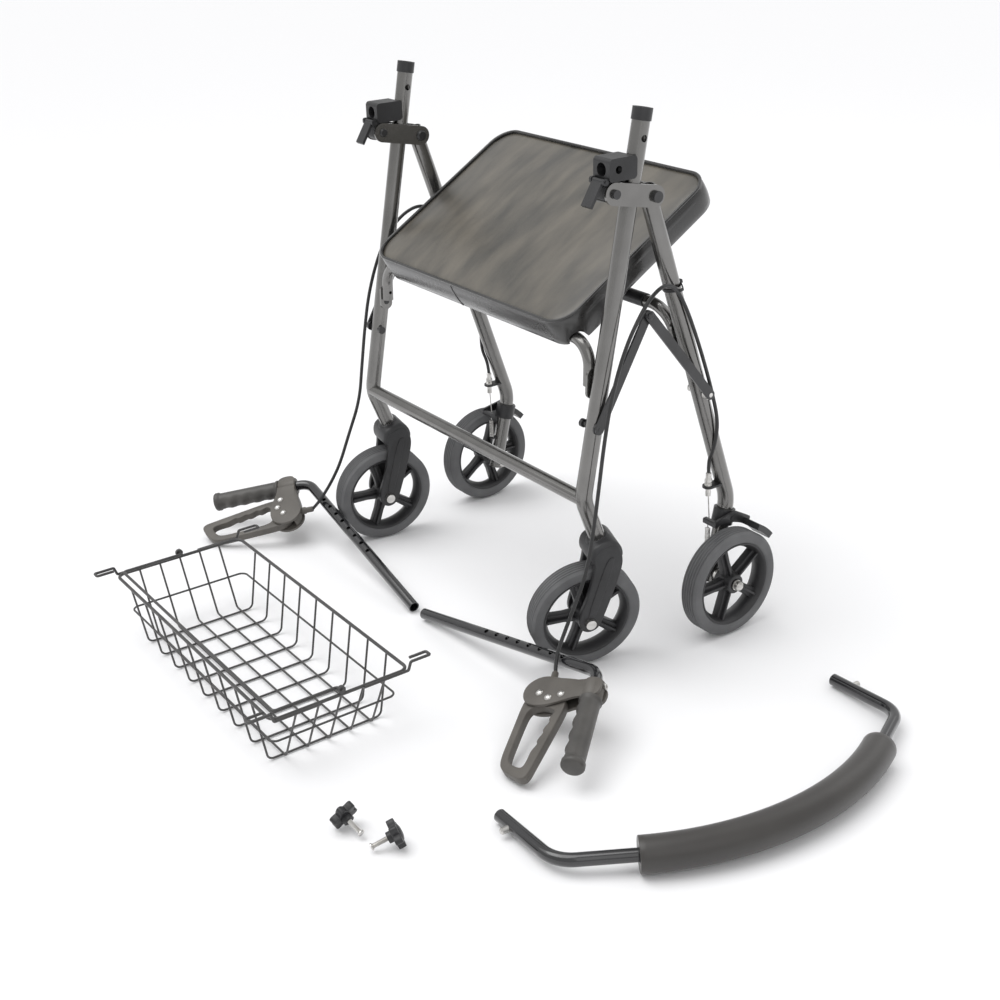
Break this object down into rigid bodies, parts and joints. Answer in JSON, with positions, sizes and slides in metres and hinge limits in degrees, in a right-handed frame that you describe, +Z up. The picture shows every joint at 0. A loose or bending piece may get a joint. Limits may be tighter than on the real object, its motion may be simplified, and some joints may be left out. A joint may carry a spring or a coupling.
{
  "type": "four-wheeled seat walker kit",
  "caption": "Half-folded four-wheeled walker frame with tilted padded seat, braked rear wheels and casters; handles, backrest, wire basket and star knobs lie loose beside it.",
  "frame": {"origin": "centre of the kit's footprint on the floor, measured without the cables", "axes": "+X across the walker towards the loose backrest, +Y towards the rear wheels, +Z up"},
  "size_m": [1.1766, 0.7828, 0.7318],
  "materials": {
    "frame_paint": "satin metallic grey-taupe powder coat",
    "black_steel": "satin black paint",
    "gloss_black_tube": "gloss black paint",
    "bright_steel": "zinc plated",
    "black_plastic": "fine moulded texture",
    "grey_plastic": "warm grey moulded nylon",
    "grip_rubber": "warm grey soft grip",
    "tyre_rubber": "grey solid rubber",
    "rim_plastic": "dark grey glass filled nylon",
    "seat_vinyl": "glossy black vinyl with fine grain",
    "seat_board_wood": "dark faced board",
    "basket_wire": "black dipped wire",
    "foam": "charcoal closed-cell foam",
    "cable_sheath": "black outer sheath"
  },
  "bodies": {
    "front_frame": {"front_tube_right": "frame_paint", "front_tube_left": "frame_paint", "front_crossbar": "frame_paint", "hinge_plates": "frame_paint", "tube_bushes": "black_plastic", "front_seat_rail": "frame_paint", "backrest_clips": "black_plastic", "frame_bolts": "bright_steel", "handle_tube_right": "gloss_black_tube", "handle_tube_left": "gloss_black_tube", "handle_grip_right": "grip_rubber", "handle_grip_left": "grip_rubber", "brake_housing_right": "grey_plastic", "brake_housing_left": "grey_plastic", "handle_rivets": "bright_steel", "brake_cable_right": "cable_sheath", "brake_cable_left": "cable_sheath"},
    "rear_frame": {"rear_leg_right": "frame_paint", "rear_leg_left": "frame_paint", "rear_seat_rail": "frame_paint", "rail_sleeve": "black_plastic", "rear_fasteners": "bright_steel", "brake_brackets": "black_plastic", "cable_fittings": "bright_steel"},
    "seat": {"seat_board": "seat_board_wood", "seat_cushion": "seat_vinyl", "seat_straps": "black_plastic"},
    "basket": {"basket_rim": "basket_wire", "basket_wires": "basket_wire"},
    "basket_handle": {"basket_handle": "basket_wire"},
    "backrest": {"backrest_tube": "gloss_black_tube", "backrest_foam": "foam"},
    "backrest_button_near": {"backrest_button_near": "bright_steel"},
    "backrest_button_far": {"backrest_button_far": "bright_steel"},
    "brace_front_right": {"brace_front_right": "black_steel"},
    "brace_rear_right": {"brace_rear_right": "black_steel"},
    "caster_right": {"caster_fork_right": "rim_plastic", "caster_hardware_right": "bright_steel"},
    "front_wheel_right": {"front_tyre_right": "tyre_rubber", "front_rim_right": "rim_plastic"},
    "rear_wheel_right": {"rear_tyre_right": "tyre_rubber", "rear_rim_right": "rim_plastic"},
    "brake_lever_right": {"brake_lever_right": "grey_plastic"},
    "brake_arm_right": {"brake_arm_right": "black_steel"},
    "latch_lever_right": {"latch_lever_right": "black_plastic"},
    "knob_right": {"knob_head_right": "black_plastic", "knob_stud_right": "bright_steel"},
    "brace_front_left": {"brace_front_left": "black_steel"},
    "brace_rear_left": {"brace_rear_left": "black_steel"},
    "caster_left": {"caster_fork_left": "rim_plastic", "caster_hardware_left": "bright_steel"},
    "front_wheel_left": {"front_tyre_left": "tyre_rubber", "front_rim_left": "rim_plastic"},
    "rear_wheel_left": {"rear_tyre_left": "tyre_rubber", "rear_rim_left": "rim_plastic"},
    "brake_lever_left": {"brake_lever_left": "grey_plastic"},
    "brake_arm_left": {"brake_arm_left": "black_steel"},
    "latch_lever_left": {"latch_lever_left": "black_plastic"},
    "knob_left": {"knob_head_left": "black_plastic", "knob_stud_left": "bright_steel"}
  },
  "joints": [
    {"name": "fold", "type": "hinge", "parent": "front_frame", "child": "rear_frame", "pos_m": [-0.106, 0.1872, 0.6251], "axis": [1, 0, 0], "range_deg": [-2, 24], "deforming": ["brake_cable_right", "brake_cable_left"]},
    {"name": "brace_front_fold_right", "type": "hinge", "parent": "front_frame", "child": "brace_front_right", "pos_m": [-0.106, 0.1002, 0.349], "axis": [1, 0, 0], "range_deg": [-20.5, 5.2]},
    {"name": "brace_rear_fold_right", "type": "hinge", "parent": "rear_frame", "child": "brace_rear_right", "pos_m": [-0.106, 0.2821, 0.3529], "axis": [1, 0, 0], "range_deg": [-4, 15.7]},
    {"name": "brace_front_fold_left", "type": "hinge", "parent": "front_frame", "child": "brace_front_left", "pos_m": [-0.106, 0.1002, 0.349], "axis": [1, 0, 0], "range_deg": [-20.5, 5.2]},
    {"name": "brace_rear_fold_left", "type": "hinge", "parent": "rear_frame", "child": "brace_rear_left", "pos_m": [-0.106, 0.2821, 0.3529], "axis": [1, 0, 0], "range_deg": [-4, 15.7]},
    {"name": "seat_tilt", "type": "hinge", "parent": "front_frame", "child": "seat", "pos_m": [-0.106, 0.114, 0.45], "axis": [1, 0, 0], "range_deg": [-22, 50]},
    {"name": "caster_swivel_right", "type": "hinge", "parent": "front_frame", "child": "caster_right", "pos_m": [0.151, 0.109, 0.1965], "axis": [0, -0.359, 0.9333], "range_deg": [-90, 10]},
    {"name": "front_wheel_spin_right", "type": "hinge", "parent": "caster_right", "child": "front_wheel_right", "pos_m": [0.13364, 0.10159, 0.07687], "axis": [0.9444, -0.3069, -0.1181], "continuous": true},
    {"name": "rear_wheel_spin_right", "type": "hinge", "parent": "rear_frame", "child": "rear_wheel_right", "pos_m": [0.1859, 0.3152, 0.0762], "axis": [1, 0, 0], "continuous": true},
    {"name": "brake_lever_squeeze_right", "type": "hinge", "parent": "front_frame", "child": "brake_lever_right", "pos_m": [0.22441, -0.03562, 0.04104], "axis": [-0.1308, -0.3755, 0.9175], "range_deg": [0, 18], "stiffness_Nm_per_rad": 0.6},
    {"name": "brake_arm_pull_right", "type": "hinge", "parent": "rear_frame", "child": "brake_arm_right", "pos_m": [0.151, 0.334, 0.16], "axis": [-1, 0, 0], "range_deg": [0, 4.01]},
    {"name": "latch_press_right", "type": "hinge", "parent": "front_frame", "child": "latch_lever_right", "pos_m": [0.151, 0.111, 0.6526], "axis": [-1, 0, 0], "range_deg": [0, 35], "stiffness_Nm_per_rad": 0.05},
    {"name": "caster_swivel_left", "type": "hinge", "parent": "front_frame", "child": "caster_left", "pos_m": [-0.363, 0.109, 0.1965], "axis": [0, -0.359, 0.9333], "range_deg": [-90, 90]},
    {"name": "front_wheel_spin_left", "type": "hinge", "parent": "caster_left", "child": "front_wheel_left", "pos_m": [-0.37144, 0.09949, 0.07605], "axis": [0.9871, -0.1492, -0.0574], "continuous": true},
    {"name": "rear_wheel_spin_left", "type": "hinge", "parent": "rear_frame", "child": "rear_wheel_left", "pos_m": [-0.3979, 0.3152, 0.0762], "axis": [1, 0, 0], "continuous": true},
    {"name": "brake_lever_squeeze_left", "type": "hinge", "parent": "front_frame", "child": "brake_lever_left", "pos_m": [-0.45011, -0.03682, 0.04104], "axis": [-0.1308, 0.3755, -0.9175], "range_deg": [0, 18], "stiffness_Nm_per_rad": 0.6},
    {"name": "brake_arm_pull_left", "type": "hinge", "parent": "rear_frame", "child": "brake_arm_left", "pos_m": [-0.363, 0.334, 0.16], "axis": [-1, 0, 0], "range_deg": [0, 4.01]},
    {"name": "latch_press_left", "type": "hinge", "parent": "front_frame", "child": "latch_lever_left", "pos_m": [-0.363, 0.111, 0.6526], "axis": [-1, 0, 0], "range_deg": [0, 35], "stiffness_Nm_per_rad": 0.05},
    {"name": "basket_lift", "type": "slide", "parent": "front_frame", "child": "basket", "axis": [0, 0, 1], "range_m": [0, 0.1]},
    {"name": "basket_handle_swing", "type": "hinge", "parent": "basket", "child": "basket_handle", "pos_m": [-0.102, -0.265, 0.0965], "axis": [-1, 0, 0], "range_deg": [0, 165]},
    {"name": "backrest_lift", "type": "slide", "parent": "front_frame", "child": "backrest", "axis": [0, 0, 1], "range_m": [0, 0.1]},
    {"name": "backrest_button_press_near", "type": "slide", "parent": "backrest", "child": "backrest_button_near", "axis": [0.061, 0.9981, 0], "range_m": [0, 0.008], "stiffness_N_per_m": 300},
    {"name": "backrest_button_press_far", "type": "slide", "parent": "backrest", "child": "backrest_button_far", "axis": [-0.061, -0.9981, 0], "range_m": [0, 0.008], "stiffness_N_per_m": 300},
    {"name": "knob_lift_right", "type": "slide", "parent": "front_frame", "child": "knob_right", "axis": [0, 0, 1], "range_m": [0, 0.05]},
    {"name": "knob_lift_left", "type": "slide", "parent": "front_frame", "child": "knob_left", "axis": [0, 0, 1], "range_m": [0, 0.05]}
  ],
  "couplings": [
    {"joint": "brace_front_fold_right", "follows": "fold", "ratio": -0.85},
    {"joint": "brace_rear_fold_right", "follows": "fold", "ratio": 0.65},
    {"joint": "brace_front_fold_left", "follows": "fold", "ratio": -0.85},
    {"joint": "brace_rear_fold_left", "follows": "fold", "ratio": 0.65},
    {"joint": "brake_arm_pull_right", "follows": "brake_lever_squeeze_right", "ratio": 0.2222},
    {"joint": "brake_arm_pull_left", "follows": "brake_lever_squeeze_left", "ratio": 0.2222}
  ]
}
